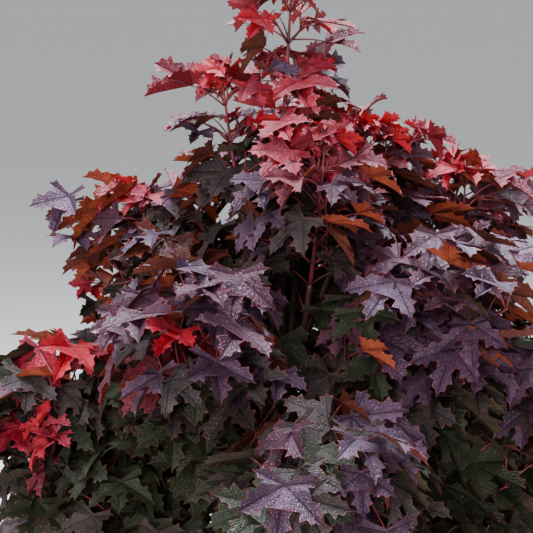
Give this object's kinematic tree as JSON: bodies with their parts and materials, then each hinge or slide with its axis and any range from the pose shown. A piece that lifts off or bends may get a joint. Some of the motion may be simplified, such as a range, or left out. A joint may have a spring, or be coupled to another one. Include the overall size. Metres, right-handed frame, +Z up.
{
  "type": "potted purple-leaved norway maple",
  "caption": "Young purple-leaved Norway maple with crimson shoot tips, bushy from low down, in a plain round nursery pot.",
  "frame": {"origin": "centre of the pot's flat underside", "axes": "+Z up along the trunk; -Y towards the viewer of the plant's best side; +X to the viewer's right"},
  "size_m": [1.0433, 1.092, 1.6903],
  "materials": {
    "pot": "moulded charcoal plastic, satin, lightly dusty",
    "potting_mix": "moist composted bark, coarse and matt",
    "bark": "smooth young bark, grey-brown, finely lined, with pale pores",
    "shoot_bark": "smooth red-brown shoot bark with pale pores",
    "leaf_red": "young leaves, crimson and glossy, with darker veins",
    "leaf_purple": "mature leaves, dark purple with a waxy lavender gloss, puckered between the veins",
    "leaf_bronze": "lower and inner leaves, near-black bronze green, satin"
  },
  "bodies": {
    "root": {"pot": "pot", "potting_mix": "potting_mix", "trunk": "bark", "bough_left_leader": "shoot_bark", "bough_right_leader": "shoot_bark", "bough_front_leader": "shoot_bark", "bough_back_leader": "shoot_bark", "bough_right_shoulder": "shoot_bark", "bough_left_shoulder": "shoot_bark", "bough_right_front": "shoot_bark", "bough_left_front": "shoot_bark", "bough_back": "shoot_bark", "bough_front_middle": "shoot_bark", "bough_right_side": "shoot_bark", "bough_right_back": "shoot_bark", "bough_left_back": "shoot_bark", "bough_left_side": "shoot_bark", "bough_low_right_front": "shoot_bark", "bough_low_right": "shoot_bark", "bough_low_back": "shoot_bark", "bough_low_left": "shoot_bark", "bough_low_left_front": "shoot_bark", "foliage_leader": "leaf_red", "foliage_left_leader": "leaf_red", "foliage_right_leader": "leaf_red", "foliage_front_leader": "leaf_red", "foliage_back_leader": "leaf_red", "foliage_right_shoulder": "leaf_red", "foliage_left_shoulder": "leaf_purple", "foliage_right_front": "leaf_purple", "foliage_left_front": "leaf_purple", "foliage_back": "leaf_purple", "foliage_front_middle": "leaf_purple", "foliage_right_side": "leaf_purple", "foliage_right_back": "leaf_purple", "foliage_left_back": "leaf_purple", "foliage_left_side": "leaf_purple", "foliage_low_right_front": "leaf_bronze", "foliage_low_right": "leaf_bronze", "foliage_low_back": "leaf_bronze", "foliage_low_left": "leaf_bronze", "foliage_low_left_front": "leaf_bronze"}
  },
  "joints": []
}
